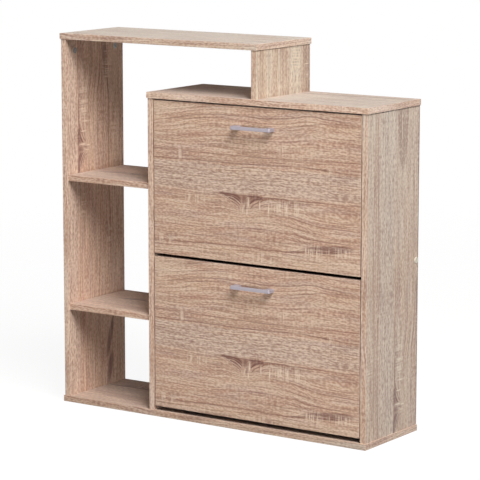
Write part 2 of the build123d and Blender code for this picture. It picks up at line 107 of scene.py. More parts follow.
# Painted sheen: a pale band on the two tops stands in for the grazing sheen on their lit parts. It fades out
# towards the part of the cabinet top that lies under the raised top.
SHEEN_BAND_ALONG = (0.02, 0.20, 1.10, 1.20)
SHEEN_BAND_ACROSS = (0.400, 0.430, 0.640, 0.740)
SHEET_WIDTH = 0.75
BENDS = (
    Bend(0.030, (-0.100, -0.050, 0.045, 0.110), (
        (-0.25, 0.030), (0.0, 0.046), (0.06, 0.040), (0.11, 0.031), (0.17, 0.024), (0.26, 0.024),
        (0.35, 0.025), (0.40, 0.020), (0.45, 0.013), (0.51, 0.018), (0.60, 0.020), (0.85, 0.030),
    )),
    Bend(0.264, (0.232, 0.254, 0.290, 0.330), (
        (0.18, 0.264), (0.26, 0.254), (0.32, 0.254), (0.40, 0.257), (0.45, 0.266), (0.50, 0.271),
        (0.62, 0.272), (0.85, 0.264),
    )),
)
FAN_KNOT = Patch(0.263, 0.224, 0.075, 0.070)
FAN_DIP = 0.034
FAN_STAIN = (
    Patch(0.247, 0.2195, 0.024, 0.0105, 0.42),
    Patch(0.292, 0.2200, 0.023, 0.0100, -0.45),
    Patch(0.267, 0.2230, 0.015, 0.0160),
)
FAN_STEMS = (
    Patch(0.2655, 0.2230, 0.0046, 0.0150, 0.06),
    Patch(0.2705, 0.2410, 0.0038, 0.0150, 0.10),
)
FAN_STROKES = (
    Stroke(1.0, 0.0046, (
        (0.192, 0.2128), (0.222, 0.2125), (0.239, 0.2145), (0.251, 0.2195), (0.2600, 0.2290),
    )),
    Stroke(1.0, 0.0040, (
        (0.206, 0.2160), (0.229, 0.2180), (0.243, 0.2220), (0.253, 0.2280), (0.2600, 0.2370),
    )),
    Stroke(0.90, 0.0032, ((0.218, 0.2220), (0.236, 0.2255), (0.248, 0.2320), (0.2570, 0.2420))),
    Stroke(0.70, 0.0028, ((0.228, 0.2300), (0.243, 0.2360), (0.2540, 0.2470))),
    Stroke(1.0, 0.0050, ((0.274, 0.2140), (0.290, 0.2145), (0.314, 0.2135))),
    Stroke(1.0, 0.0048, (
        (0.279, 0.2390), (0.286, 0.2290), (0.296, 0.2225), (0.307, 0.2185), (0.322, 0.2160),
    )),
    Stroke(0.75, 0.0028, ((0.283, 0.2450), (0.292, 0.2350), (0.304, 0.2285), (0.318, 0.2245))),
)
BARK_EDGE = 0.2120
PLAIN_CORNER = Patch(0.015, 0.002, 0.125, 0.030)
# Painted sheen: a broad pale patch over the upper right side panel and the short upright stands in for the
# whiter light on that side
SIDE_SHEEN_PATCH = Patch(1.050, 0.190, 0.600, 0.280)
STAINS = (
    Patch(0.370, 0.2190, 0.090, 0.0075),
    Patch(0.865, 0.3190, 0.085, 0.0070),
    Patch(1.118, 0.2435, 0.300, 0.0310),
)
CREAM_STREAKS = (
    Patch(1.118, 0.0160, 0.200, 0.0075),
    Patch(1.118, 0.0660, 0.200, 0.0160),
    Patch(1.118, 0.1090, 0.200, 0.0070),
    Patch(1.118, 0.1800, 0.200, 0.0300),
)
RED_WEDGE = Patch(0.860, 0.1240, 0.300, 0.0140, 0.025)
SAW_BARS = (
    Patch(0.311, 0.2340, 0.0024, 0.0170, 0.03),
    Patch(0.336, 0.2420, 0.0026, 0.0220, 0.03),
    Patch(0.354, 0.2380, 0.0020, 0.0130, 0.03),
    Patch(0.368, 0.2320, 0.0018, 0.0120, 0.03),
    Patch(0.387, 0.2360, 0.0024, 0.0190, 0.03),
)
PIN_KNOTS = (
    Patch(0.494, 0.1355, 0.012, 0.0055),
    Patch(0.048, 0.333, 0.010, 0.007),
)
LENSES = (
    Patch(0.503, 0.3230, 0.090, 0.0120, -0.105),
    Patch(0.420, 0.3355, 0.034, 0.0036, -0.090),
    Patch(-0.235, 0.337, 0.060, 0.011, 0.25),
    Patch(-0.318, 0.336, 0.050, 0.012, 0.20),
)
CRACKS = (
    Patch(0.2625, 0.2480, 0.0026, 0.0130, 0.10),
    Patch(0.2745, 0.2530, 0.0026, 0.0120, 0.12),
    Patch(0.2780, 0.2310, 0.0028, 0.0170, 0.06),
    Patch(1.129, 0.231, 0.0018, 0.016, 0.08),
    Patch(1.103, 0.231, 0.0014, 0.012, 0.08),
)
LENS_BARS = (
    Patch(0.4410, 0.3300, 0.0017, 0.0130, 0.04),
    Patch(0.4500, 0.3310, 0.0020, 0.0170, 0.04),
    Patch(0.4615, 0.3320, 0.0016, 0.0150, 0.04),
    Patch(0.4715, 0.3370, 0.0020, 0.0220, 0.04),
)
LADDER_START = 1.126
LADDER_PITCH = 0.0070
LADDER_RUNGS = 7
LADDER = tuple(
    Patch(LADDER_START + LADDER_PITCH * rung, 0.181, 0.0016, 0.030, 0.06) for rung in range(LADDER_RUNGS)
)
STROKES = (
    Stroke(0.80, 0.0030, (
        (0.0, 0.046), (0.06, 0.040), (0.11, 0.031), (0.17, 0.024), (0.26, 0.024), (0.35, 0.025),
        (0.40, 0.020), (0.45, 0.013), (0.51, 0.018), (0.60, 0.020),
    )),
    Stroke(0.55, 0.0026, (
        (0.0, 0.021), (0.06, 0.019), (0.11, 0.012), (0.16, 0.006), (0.28, 0.005), (0.45, 0.003),
    )),
    Stroke(0.60, 0.0028, (
        (0.05, 0.043), (0.13, 0.036), (0.19, 0.031), (0.25, 0.034), (0.30, 0.038), (0.38, 0.035),
    )),
    Stroke(0.60, 0.0026, ((0.38, 0.046), (0.43, 0.037), (0.47, 0.030), (0.52, 0.027), (0.62, 0.029))),
    Stroke(0.40, 0.0030, ((0.0, 0.074), (0.10, 0.077), (0.22, 0.074))),
    Stroke(0.75, 0.0026, (
        (-0.10, 0.116), (0.0, 0.117), (0.20, 0.119), (0.34, 0.119), (0.44, 0.116), (0.70, 0.112),
    )),
    Stroke(0.50, 0.0022, ((0.30, 0.108), (0.36, 0.107))),
    Stroke(0.80, 0.0028, (
        (-0.10, 0.140), (0.0, 0.139), (0.15, 0.138), (0.29, 0.137), (0.36, 0.135), (0.43, 0.132),
        (0.49, 0.136), (0.56, 0.139), (0.75, 0.134), (1.0, 0.131),
    )),
    Stroke(0.45, 0.0024, ((0.0, 0.128), (0.20, 0.129), (0.40, 0.127))),
    Stroke(0.85, 0.0026, ((0.14, 0.216), (0.20, 0.214), (0.32, 0.2135), (0.45, 0.214), (0.64, 0.212))),
    Stroke(0.50, 0.0026, ((-0.20, 0.218), (0.0, 0.217), (0.10, 0.220), (0.21, 0.217))),
    Stroke(0.50, 0.0024, ((0.0, 0.224), (0.12, 0.226), (0.22, 0.222))),
    Stroke(0.45, 0.0024, ((0.05, 0.233), (0.15, 0.235), (0.23, 0.232))),
    Stroke(0.65, 0.0028, ((0.32, 0.254), (0.40, 0.257), (0.45, 0.266), (0.50, 0.271), (0.62, 0.273))),
    Stroke(0.60, 0.0028, ((0.26, 0.290), (0.34, 0.292), (0.41, 0.296), (0.45, 0.302), (0.62, 0.304))),
    Stroke(0.45, 0.0026, ((0.36, 0.272), (0.41, 0.280), (0.46, 0.290), (0.49, 0.298))),
    Stroke(0.50, 0.0028, ((0.20, 0.315), (0.32, 0.318), (0.40, 0.317), (0.45, 0.310), (0.50, 0.304))),
    Stroke(0.80, 0.0032, (
        (-0.06, 0.344), (0.10, 0.341), (0.20, 0.338), (0.30, 0.338), (0.36, 0.339), (0.44, 0.333),
    )),
    Stroke(0.45, 0.0026, ((-0.36, 0.352), (-0.20, 0.346), (0.0, 0.352), (0.16, 0.348))),
    Stroke(0.75, 0.0100, ((0.12, 0.655), (0.25, 0.662), (0.34, 0.668), (0.44, 0.676))),
    Stroke(0.55, 0.0024, ((1.00, 0.0290), (1.12, 0.0300), (1.24, 0.0290))),
    Stroke(0.45, 0.0030, ((1.00, 0.0400), (1.12, 0.0390), (1.24, 0.0400))),
    Stroke(0.35, 0.0060, ((1.00, 0.0930), (1.12, 0.0950), (1.24, 0.0940))),
    Stroke(0.80, 0.0018, ((1.00, 0.1270), (1.12, 0.1255), (1.24, 0.1270))),
    Stroke(0.40, 0.0040, ((1.00, 0.1400), (1.12, 0.1390), (1.24, 0.1400))),
)
SAW_PATCHES = (
    Patch(0.390, 0.236, 0.090, 0.026),
    Patch(0.466, 0.332, 0.034, 0.028),
    Patch(0.536, 0.328, 0.054, 0.019),
    Patch(0.028, 0.338, 0.040, 0.018),
    Patch(0.078, 0.127, 0.018, 0.020),
    Patch(0.382, 0.100, 0.026, 0.020),
    Patch(0.508, 0.136, 0.016, 0.012),
    Patch(0.120, 0.232, 0.060, 0.016),
    Patch(0.320, 0.360, 0.050, 0.018),
    Patch(1.143, 0.182, 0.034, 0.042),
)

# How the print varies: noise fields in cells per metre along and across the grain, the ways they are used,
# and the tones that they lay on the sheet. A tint's grey gain adds to its share in the grey band.
Field = namedtuple("Field", "along across detail roughness", defaults=(2.0, 0.5))
Swell = namedtuple("Swell", "field start end low high", defaults=(0.0, 1.0))
Rise = namedtuple("Rise", "start end low high")
Wander = namedtuple("Wander", "field reach")
Tint = namedtuple("Tint", "tone start end share grey_gain", defaults=(1.0, 0.0))
Lines = namedtuple("Lines", "field half_width gaps share")
Mark = namedtuple("Mark", "tone share solid patches")
NOISE_MIDDLE = 0.5

# Bends of the grain
SWAY = Wander(Field(3.5, 11.0, 3.0), 0.006)
RIPPLE = Wander(Field(26.0, 60.0, 3.0), 0.0005)
BARK_BLUR = 0.003
FAN_DIP_POWER = 1.5

# Ground tones
GROUND_SWELL = Swell(Field(2.5, 32.0), 0.32, 0.68)
# Share of the pale band of painted sheen on the tops
SHEEN_BAND_SHARE = 0.90
RUST_FIELD = Field(5.0, 75.0)
RUST_TINTS = (Tint("rust", 0.48, 0.72, 0.60, -0.45),)
DRIFT_FIELD = Field(6.0, 55.0)
DRIFT_TINTS = (Tint("mauve", 0.52, 0.72, 0.45), Tint("honey", 0.48, 0.28, 0.35))
GROUND_MARKS = (
    Mark("cream_and_sheen", 0.55, 0.5, CREAM_STREAKS),
    Mark("straw", 0.80, 0.4, (PLAIN_CORNER,)),
    # Painted sheen on the right side panel and the short upright
    Mark("cream_and_sheen", 0.30, 0.0, (SIDE_SHEEN_PATCH,)),
    Mark("rust", 0.45, 0.5, (RED_WEDGE,)),
    Mark("growth_line", 0.60, 0.9, STAINS),
)

# Fibres and fine texture
STREAK_FIELD = Field(12.0, 190.0, 2.0, 0.6)
STREAK_TINTS = (Tint("growth_line", 0.50, 0.76, 0.25),)
FIBRE_FIELD = Field(8.0, 300.0, 2.0, 0.6)
FIBRE_TINTS = (Tint("growth_line", 0.50, 0.66, 0.46), Tint("saw_mark", 0.49, 0.32, 0.58))
DASH_FIELD = Field(115.0, 340.0, 0.0)
DASH_TINTS = (Tint("growth_line", 0.51, 0.72, 0.32), Tint("saw_mark", 0.49, 0.28, 0.35))
FLECK_FIELD = Field(70.0, 320.0, 1.0)
FLECK_TINTS = (Tint("saw_mark", 0.52, 0.70, 0.06, 0.40), Tint("growth_line", 0.48, 0.30, 0.06, 0.35))
HATCH_COMB = Field(260.0, 40.0, 0.0)
HATCH_SWELL = Swell(Field(9.0, 15.0), 0.35, 0.65, 0.45, 1.0)
HATCH_TINTS = (Tint("saw_mark", 0.03, 0.20, 0.11), Tint("growth_line", -0.03, -0.20, 0.07))
LONG_LINES = Lines(Field(3.0, 60.0, 1.0), 0.045, Swell(Field(8.0, 40.0), 0.40, 0.65), 0.32)
HAIR_LINES = Lines(Field(3.5, 130.0, 1.0), 0.045, Swell(Field(9.0, 70.0), 0.40, 0.62), 0.34)

# Drawn growth lines, knots and saw marks
STROKE_ENDS = (0.0, 0.12, 0.88, 1.0)
STROKE_SHAKE = Wander(Field(30.0, 60.0), 0.0020)
STROKE_SWELL = Swell(Field(16.0, 90.0), 0.32, 0.58, 0.65, 1.0)
FAN_SWELL = Swell(Field(16.0, 90.0), 0.32, 0.58, 0.85, 1.0)
LENS_SOLID = 0.6
LENS_DEPTH = Rise(0.32, 0.60, 0.45, 0.86)
KNOT_MARKS = (
    Mark("knot", 0.60, 0.0, PIN_KNOTS),
    Mark("growth_line", 0.80, 0.25, FAN_STAIN),
    Mark("knot", 0.80, 0.0, FAN_STEMS),
)
SAW_SHARE = 0.62
SAW_SOLID = 0.3
SAW_TEETH = Swell(Field(135.0, 10.0, 1.0), 0.43, 0.60)
SAW_BREAKS = Swell(Field(60.0, 160.0), 0.30, 0.60, 0.25, 1.0)
SAW_SCUFFS = Swell(Field(8.0, 14.0), 0.55, 0.80, 0.0, 0.35)
CRACK_SOLID = 0.2
CRACK_WEAR = Swell(Field(90.0, 120.0, 1.0), 0.30, 0.62, 0.60, 1.0)

# Relief of the print, as shares of the boards' bump
PORE_DEPTH = Swell(Field(110.0, 1500.0, 1.0), 0.60, 0.75, 0.0, -0.6)
STROKE_RELIEF = -0.8
FIBRE_RELIEF = 0.5

# Surface of the printed boards
BOARD_GRIT = 900.0
BOARD_ROUGHNESS = 0.56
BOARD_ROUGHNESS_SPREAD = 0.12
BOARD_SPECULAR = 0.05
BOARD_SHEEN = 0.55
BOARD_SHEEN_ROUGHNESS = 0.50
BOARD_BUMP = 0.12
BOARD_BUMP_DEPTH = 0.0004

# Solid finishes: a ground colour, noises in cells per metre, the tints that they lay over the ground, and
# which noise dulls and which one bumps the surface
Speck = namedtuple("Speck", "cells detail roughness", defaults=(2.0, 0.5))
Dullness = namedtuple("Dullness", "speck base spread")
Bumps = namedtuple("Bumps", "speck strength depth")
Recipe = namedtuple("Recipe", "ground specks tints dullness bumps metallic", defaults=(None, None, 0.0))
RAW_EDGE = Recipe(
    "chip_dark",
    {"chips": Speck((420.0, 420.0, 420.0), 3.0, 0.7), "dust": Speck(1500.0, 1.0)},
    {"chips": Tint("chip", 0.40, 0.62), "dust": Tint("straw", 0.55, 0.75, 0.5)},
)
RECIPES = {
    "hardboard": Recipe(
        "hardboard_dark",
        {
            "mottle": Speck(260.0, 5.0, 0.7),
            "cloud": Speck(14.0, 3.0),
            "fibre": Speck((1400.0, 1400.0, 350.0)),
        },
        {
            "mottle": Tint("hardboard", 0.35, 0.68),
            "cloud": Tint("hardboard_dark", 0.40, 0.75, 0.25),
            "fibre": Tint("hardboard_fibre", 0.62, 0.80, 0.45),
        },
        Dullness("mottle", 0.55, 0.20),
        Bumps("mottle", 0.15, 0.0003),
    ),
    "black_plastic": Recipe(
        "plastic",
        {"grain": Speck(1600.0, 2.0, 0.6), "scuff": Speck(40.0, 4.0)},
        {"scuff": Tint("plastic_scuff", 0.50, 0.80, 0.5)},
        Dullness("scuff", 0.34, 0.22),
        Bumps("grain", 0.25, 0.0003),
    ),
    "zinc_steel": Recipe(
        "steel_shadow",
        {"cloud": Speck(320.0, 3.0)},
        {"cloud": Tint("steel", 0.35, 0.70)},
        Dullness("cloud", 0.32, 0.25),
        Bumps("cloud", 0.08, 0.0002),
        metallic=1.0,
    ),
    "silver_handle": Recipe(
        "handle_shadow",
        {"brushing": Speck((40.0, 2600.0, 2600.0), 3.0)},
        {"brushing": Tint("handle", 0.35, 0.65)},
        Dullness("brushing", 0.52, 0.20),
        Bumps("brushing", 0.06, 0.0002),
        metallic=0.45,
    ),
    "beech_dowel": Recipe(
        "beech",
        {"fleck": Speck((500.0, 1500.0, 1500.0))},
        {"fleck": Tint("beech_fleck", 0.52, 0.72)},
        Dullness("fleck", 0.55, 0.15),
        Bumps("fleck", 0.10, 0.0002),
    ),
    "ivory_cap": Recipe(
        "cap_shadow",
        {"tone": Speck(120.0), "grain": Speck(900.0)},
        {"tone": Tint("cap", 0.35, 0.70)},
        Dullness("tone", 0.40, 0.12),
        Bumps("grain", 0.12, 0.0002),
    ),
}


class NodeBench:
    """Adds nodes to one tree and joins them, so that a finish reads as a row of steps."""

    def __init__(self, tree):
        self.tree = tree

    def add(self, kind, inputs=None, outlet=0, **settings):
        node = self.tree.nodes.new(kind)
        for name, value in settings.items():
            setattr(node, name, value)
        for name, value in (inputs or {}).items():
            self.plug(node.inputs[name], value)
        return node.outputs[outlet]

    def plug(self, socket, value):
        if isinstance(value, bpy.types.NodeSocket):
            self.tree.links.new(value, socket)
        else:
            socket.default_value = value

    def maths(self, operation, *values, clamp=False):
        return self.add("ShaderNodeMath", dict(enumerate(values)), operation=operation, use_clamp=clamp)

    def total(self, values):
        running = values[0]
        for value in values[1:]:
            running = self.maths("ADD", running, value)
        return running

    def strongest(self, values):
        """The highest value. A generator's values are joined as they come, which spares shader memory."""
        return reduce(lambda highest, value: self.maths("MAXIMUM", highest, value), values)

    def split(self, vector):
        node = self.tree.nodes.new("ShaderNodeSeparateXYZ")
        self.plug(node.inputs[0], vector)
        return node.outputs

    def place(self, along, across, third=0.0):
        return self.add("ShaderNodeCombineXYZ", {0: along, 1: across, 2: third})

    def scaled(self, place, along, across, third=1.0):
        return self.add("ShaderNodeVectorMath", {0: place, 1: (along, across, third)}, operation="MULTIPLY")

    def noise(self, place, detail=2.0, roughness=0.5, scale=1.0, dimensions="2D"):
        return self.add(
            "ShaderNodeTexNoise",
            {"Vector": place, "Scale": scale, "Detail": detail, "Roughness": roughness},
            noise_dimensions=dimensions,
        )

    def field(self, place, field):
        """A flat noise that is drawn out along the sheet."""
        return self.noise(self.scaled(place, field.along, field.across), field.detail, field.roughness)

    def speck(self, place, speck):
        """A solid noise with so many cells per metre, one number for all axes or one for each."""
        scale = speck.cells
        if isinstance(speck.cells, tuple):
            place = self.scaled(place, *speck.cells)
            scale = 1.0
        return self.noise(place, speck.detail, speck.roughness, scale, dimensions="3D")

    def swell(self, place, swell):
        """A field that rises from the swell's low to its high between its start and end."""
        return self.ease(self.field(place, swell.field), swell.start, swell.end, swell.low, swell.high)

    def wander(self, place, wander):
        """A field that swings up to the wander's reach both ways."""
        noise = self.field(place, wander.field)
        return self.maths("MULTIPLY_ADD", noise, 2.0 * wander.reach, -wander.reach)

    def ease(self, value, start, end, low=0.0, high=1.0):
        return self.add(
            "ShaderNodeMapRange",
            {0: value, 1: start, 2: end, 3: low, 4: high},
            interpolation_type="SMOOTHSTEP",
        )

    def band(self, value, stops):
        """1 between the middle two stops, falling to 0 at the outer two."""
        rise = self.ease(value, stops[0], stops[1])
        fall = self.ease(value, stops[2], stops[3], 1.0, 0.0)
        return self.maths("MULTIPLY", rise, fall)

    def reach(self, place, patch):
        """0 at a patch's middle and 1 at its rim."""
        middle = (patch.along, patch.across, 0.0)
        lengthwise = Vector((math.cos(patch.tilt), math.sin(patch.tilt), 0.0)) / patch.half_along
        crosswise = Vector((-math.sin(patch.tilt), math.cos(patch.tilt), 0.0)) / patch.half_across
        offset = self.add("ShaderNodeVectorMath", {0: place, 1: middle}, operation="SUBTRACT")
        squares = []
        for direction in (lengthwise, crosswise):
            share = self.add(
                "ShaderNodeVectorMath", {0: offset, 1: direction}, outlet="Value", operation="DOT_PRODUCT"
            )
            squares.append(self.maths("MULTIPLY", share, share))
        return self.maths("SQRT", self.total(squares))

    def patch(self, place, patch, solid=0.0):
        """1 inside a patch and 0 outside it, solid out to that share of its reach."""
        return self.ease(self.reach(place, patch), solid, 1.0, 1.0, 0.0)

    def spots(self, place, patches, solid=0.0):
        """1 inside any of the patches and 0 outside them all."""
        return self.strongest(self.patch(place, patch, solid) for patch in patches)

    def blend(self, share, first, second, mode="MIX"):
        """Two colours mixed. A Mix node takes them in its inputs 6 and 7 and gives the mix from output 2."""
        node = self.tree.nodes.new("ShaderNodeMix")
        node.data_type = "RGBA"
        node.blend_type = mode
        self.plug(node.inputs[0], share)
        self.plug(node.inputs[6], first)
        self.plug(node.inputs[7], second)
        return node.outputs[2]

    def curve(self, value, points):
        """A smooth curve through points whose two numbers both run from 0 to 1."""
        node = self.tree.nodes.new("ShaderNodeFloatCurve")
        line = node.mapping.curves[0]
        while len(line.points) < len(points):
            line.points.new(*points[0])
        for point, spot in zip(line.points, points):
            point.location = spot
        node.mapping.update()
        self.plug(node.inputs["Value"], value)
        return node.outputs[0]


def opaque(colour):
    return (*colour, 1.0)


class Coats:
    """Lays tones of one colour group over a ground tone, the last on top."""

    def __init__(self, bench, tones, ground):
        self.bench = bench
        self.tones = tones
        self.colour = self.tone(ground)

    def tone(self, name):
        return opaque(getattr(self.tones, name))

    def lay(self, tone, share):
        self.colour = self.bench.blend(share, self.colour, self.tone(tone))

    def lay_tints(self, field, tints, grey=None):
        """Lays each tint, from none at its start value of the field to its whole share at its end value."""
        for tint in tints:
            share = tint.share
            if tint.grey_gain:
                share = self.bench.maths("MULTIPLY_ADD", grey, tint.grey_gain, tint.share)
            self.lay(tint.tone, self.bench.ease(field, tint.start, tint.end, 0.0, share))

    def lay_marks(self, place, marks):
        """Lays each mark inside its patches."""
        for mark in marks:
            inside = self.bench.spots(place, mark.patches, mark.solid)
            self.lay(mark.tone, self.bench.maths("MULTIPLY", inside, mark.share))


# Shared parts of every finish


def new_material(name):
    material = bpy.data.materials.new(name)
    material.use_nodes = True
    material.node_tree.nodes.clear()
    return material


def surface(bench, material, colour, roughness, metallic=0.0):
    """The material's Principled shader, joined to its output."""
    nodes = material.node_tree.nodes
    shader = nodes.new("ShaderNodeBsdfPrincipled")
    output = nodes.new("ShaderNodeOutputMaterial")
    bench.plug(shader.inputs["Base Color"], colour)
    bench.plug(shader.inputs["Roughness"], roughness)
    shader.inputs["Metallic"].default_value = metallic
    bench.plug(output.inputs["Surface"], shader.outputs[0])
    return shader


def bump(bench, shader, height, strength, depth):
    normal = bench.add("ShaderNodeBump", {"Strength": strength, "Distance": depth, "Height": height})
    bench.plug(shader.inputs["Normal"], normal)


def object_place(bench):
    return bench.add("ShaderNodeTexCoord", outlet="Object")


def dress(names, material):
    for name in names:
        for slot in NODES[name].material_slots:
            slot.material = material


def speckle(bench, place, recipe, tones):
    """A recipe's noises, and the colour that their tints give over its ground."""
    specks = {name: bench.speck(place, speck) for name, speck in recipe.specks.items()}
    coats = Coats(bench, tones, recipe.ground)
    for name, tint in recipe.tints.items():
        coats.lay_tints(specks[name], [tint])
    return specks, coats.colour


# The printed oak sheet


def course(bench, along, points):
    """The across value of a line drawn through points, level past its ends, and the share run along it."""
    start = points[0][0]
    end = points[-1][0]
    share = bench.add("ShaderNodeMapRange", {0: along, 1: start, 2: end})
    spots = [((run - start) / (end - start), level / SHEET_WIDTH) for run, level in points]
    return bench.maths("MULTIPLY", bench.curve(share, spots), SHEET_WIDTH), share


def bend_shift(bench, along, across, bend):
    """How far the fibres near a bend have left its level."""
    line, _ = course(bench, along, bend.points)
    return bench.maths("MULTIPLY", bench.maths("SUBTRACT", bend.level, line), bench.band(across, bend.stops))


def sheet_flow(bench, place, along, across):
    """The across value with the bends and the dip at the fan knot taken out of it."""
    near_knot = bench.maths("SUBTRACT", 1.0, bench.reach(place, FAN_KNOT), clamp=True)
    below_bark = bench.ease(across, BARK_EDGE - BARK_BLUR, BARK_EDGE + BARK_BLUR)
    dip = bench.maths("MULTIPLY", bench.maths("POWER", near_knot, FAN_DIP_POWER), below_bark)
    shifts = [
        bench.wander(place, SWAY),
        bench.wander(place, RIPPLE),
        bench.maths("MULTIPLY", dip, -FAN_DIP),
        *[bend_shift(bench, along, across, bend) for bend in BENDS],
    ]
    return bench.total([across, *shifts])


def stroke_depth(bench, along, across, stroke):
    """Depth of one drawn growth line, which thins out at both ends."""
    middle, share = course(bench, along, stroke.points)
    offset = bench.maths("ABSOLUTE", bench.maths("SUBTRACT", across, middle))
    core = bench.ease(offset, stroke.half_width, 0.0, 0.0, stroke.depth)
    return bench.maths("MULTIPLY", core, bench.band(share, STROKE_ENDS))


def drawn_strokes(bench, along, place, across, strokes, swell):
    """Drawn growth lines, shaken a little and fading to the swell's low here and there."""
    shaken = bench.maths("ADD", across, bench.wander(place, STROKE_SHAKE))
    depth = bench.strongest(stroke_depth(bench, along, shaken, stroke) for stroke in strokes)
    return bench.maths("MULTIPLY", depth, bench.swell(place, swell))


def contour_lines(bench, grain, lines):
    """Long thin lines where a drawn-out noise crosses its middle value, with gaps in them."""
    offset = bench.maths("ABSOLUTE", bench.maths("SUBTRACT", bench.field(grain, lines.field), NOISE_MIDDLE))
    line = bench.ease(offset, lines.half_width, 0.0)
    broken_line = bench.maths("MULTIPLY", line, bench.swell(grain, lines.gaps))
    return bench.maths("MULTIPLY", broken_line, lines.share)


def cross_hatch(bench, place):
    """Fine saw texture across the grain, centred on 0, stronger in some places than in others."""
    comb = bench.maths("SUBTRACT", bench.field(place, HATCH_COMB), NOISE_MIDDLE)
    return bench.maths("MULTIPLY", comb, bench.swell(place, HATCH_SWELL))


def saw_marks(bench, place):
    """Pale cross marks left by the saw, in patches and in fainter scuffs between them."""
    patches = bench.spots(place, SAW_PATCHES, SAW_SOLID)
    area = bench.maths("MAXIMUM", patches, bench.swell(place, SAW_SCUFFS))
    marks = bench.maths("MULTIPLY", bench.swell(place, SAW_TEETH), area)
    marks = bench.maths("MULTIPLY", marks, bench.swell(place, SAW_BREAKS))
    return bench.maths("MULTIPLY", marks, SAW_SHARE)


def pale_cracks(bench, place):
    """Pale cracks and bars across the grain, fainter here and there."""
    cracks = bench.spots(place, CRACKS + SAW_BARS + LENS_BARS + LADDER, CRACK_SOLID)
    return bench.maths("MULTIPLY", cracks, bench.swell(place, CRACK_WEAR))


def lay_ground(coats, along, across, place, grain, grey):
    """The sheet's broad tones: ground, bands across the sheet, a pale band of painted sheen on the tops,
    drift along the grain and single marks, one of them painted sheen.
    """
    bench = coats.bench
    coats.lay("straw", bench.swell(grain, GROUND_SWELL))
    for band in TONE_BANDS:
        coats.lay(band.tone, bench.maths("MULTIPLY", bench.band(across, band.stops), band.share))
    # Painted sheen: the pale band on the lit parts of the two tops
    cream_and_sheen = bench.maths("MULTIPLY", bench.band(along, SHEEN_BAND_ALONG), bench.band(across, SHEEN_BAND_ACROSS))
    coats.lay("cream_and_sheen", bench.maths("MULTIPLY", cream_and_sheen, SHEEN_BAND_SHARE))
    coats.lay_tints(bench.field(grain, RUST_FIELD), RUST_TINTS, grey)
    coats.lay_tints(bench.field(grain, DRIFT_FIELD), DRIFT_TINTS)
    coats.lay_marks(place, GROUND_MARKS)


def lay_fibres(coats, place, grain, fibres, grey):
    """The sheet's fine texture: streaks, fibres, dashes, flecks, saw hatching and thin long lines."""
    bench = coats.bench
    coats.lay_tints(bench.field(grain, STREAK_FIELD), STREAK_TINTS)
    coats.lay_tints(fibres, FIBRE_TINTS)
    coats.lay_tints(bench.field(grain, DASH_FIELD), DASH_TINTS)
    coats.lay_tints(bench.field(grain, FLECK_FIELD), FLECK_TINTS, grey)
    coats.lay_tints(cross_hatch(bench, place), HATCH_TINTS)
    for lines in (LONG_LINES, HAIR_LINES):
        coats.lay("growth_line", contour_lines(bench, grain, lines))


def lay_knots(coats, along, across, place, fibres):
    """The sheet's dark lenses and knots, and the saw's pale marks over them."""
    bench = coats.bench
    lenses = bench.spots(place, LENSES, LENS_SOLID)
    coats.lay("knot", bench.maths("MULTIPLY", lenses, bench.ease(fibres, *LENS_DEPTH)))
    coats.lay_marks(place, KNOT_MARKS)
    coats.lay("knot", drawn_strokes(bench, along, place, across, FAN_STROKES, FAN_SWELL))
    coats.lay("saw_mark", saw_marks(bench, place))
    coats.lay("saw_mark", pale_cracks(bench, place))


def oak_print(decor):
    """The node group that gives the printed sheet's colour and relief from metres along and across it."""
    tree = bpy.data.node_groups.new("oak_print", "ShaderNodeTree")
    for name in ("Along", "Across"):
        tree.interface.new_socket(name, in_out="INPUT", socket_type="NodeSocketFloat")
    tree.interface.new_socket("Colour", in_out="OUTPUT", socket_type="NodeSocketColor")
    tree.interface.new_socket("Relief", in_out="OUTPUT", socket_type="NodeSocketFloat")
    bench = NodeBench(tree)
    entry = tree.nodes.new("NodeGroupInput")
    along = entry.outputs["Along"]
    across = entry.outputs["Across"]
    place = bench.place(along, across)
    grain = bench.place(along, sheet_flow(bench, place, along, across))
    grey = bench.band(across, GREY_BAND)
    fibres = bench.field(grain, FIBRE_FIELD)
    strokes = drawn_strokes(bench, along, place, across, STROKES, STROKE_SWELL)

    coats = Coats(bench, decor, "tan")
    lay_ground(coats, along, across, place, grain, grey)
    lay_fibres(coats, place, grain, fibres, grey)
    coats.lay("growth_line", strokes)
    lay_knots(coats, along, across, place, fibres)

    relief = bench.total(
        [
            bench.swell(grain, PORE_DEPTH),
            bench.maths("MULTIPLY", strokes, STROKE_RELIEF),
            bench.maths("MULTIPLY", fibres, FIBRE_RELIEF),
        ]
    )
    leaving = tree.nodes.new("NodeGroupOutput")
    tree.links.new(coats.colour, leaving.inputs["Colour"])
    tree.links.new(relief, leaving.inputs["Relief"])
    return tree


def choose(bench, switch, off, on):
    """off where the switch is 0 and on where it is 1."""
    step = bench.maths("SUBTRACT", on, off)
    return bench.maths("MULTIPLY_ADD", switch, step, off)


def faces(bench, facing, axis):
    """1 where the surface faces an axis either way, and 0 elsewhere."""
    return bench.maths("GREATER_THAN", bench.maths("ABSOLUTE", facing[axis]), FACING)


def sheet_place(bench, name, cut, spot, on_face, on_end):
    """Along and across the sheet: faces keep their board's cut, edges and ends wear a plain edge band."""
    turn = -1.0 if cut.width == "Z" else 1.0
    low_corner, high_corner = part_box(name)
    shown_corner = low_corner if cut.thickness == "Y" else high_corner
    level = shown_corner["XYZ".index(cut.thickness)]
    through = bench.maths("SUBTRACT", spot[cut.thickness], level)
    face_across = bench.maths("ADD", bench.maths("MULTIPLY_ADD", spot[cut.width], turn, cut.across), through)
    band_across = bench.maths("ADD", through, cut.edge)
    along = bench.maths("ADD", choose(bench, on_end, spot[cut.run], spot[cut.width]), cut.along)
    across = choose(bench, on_face, band_across, face_across)
    return along, across


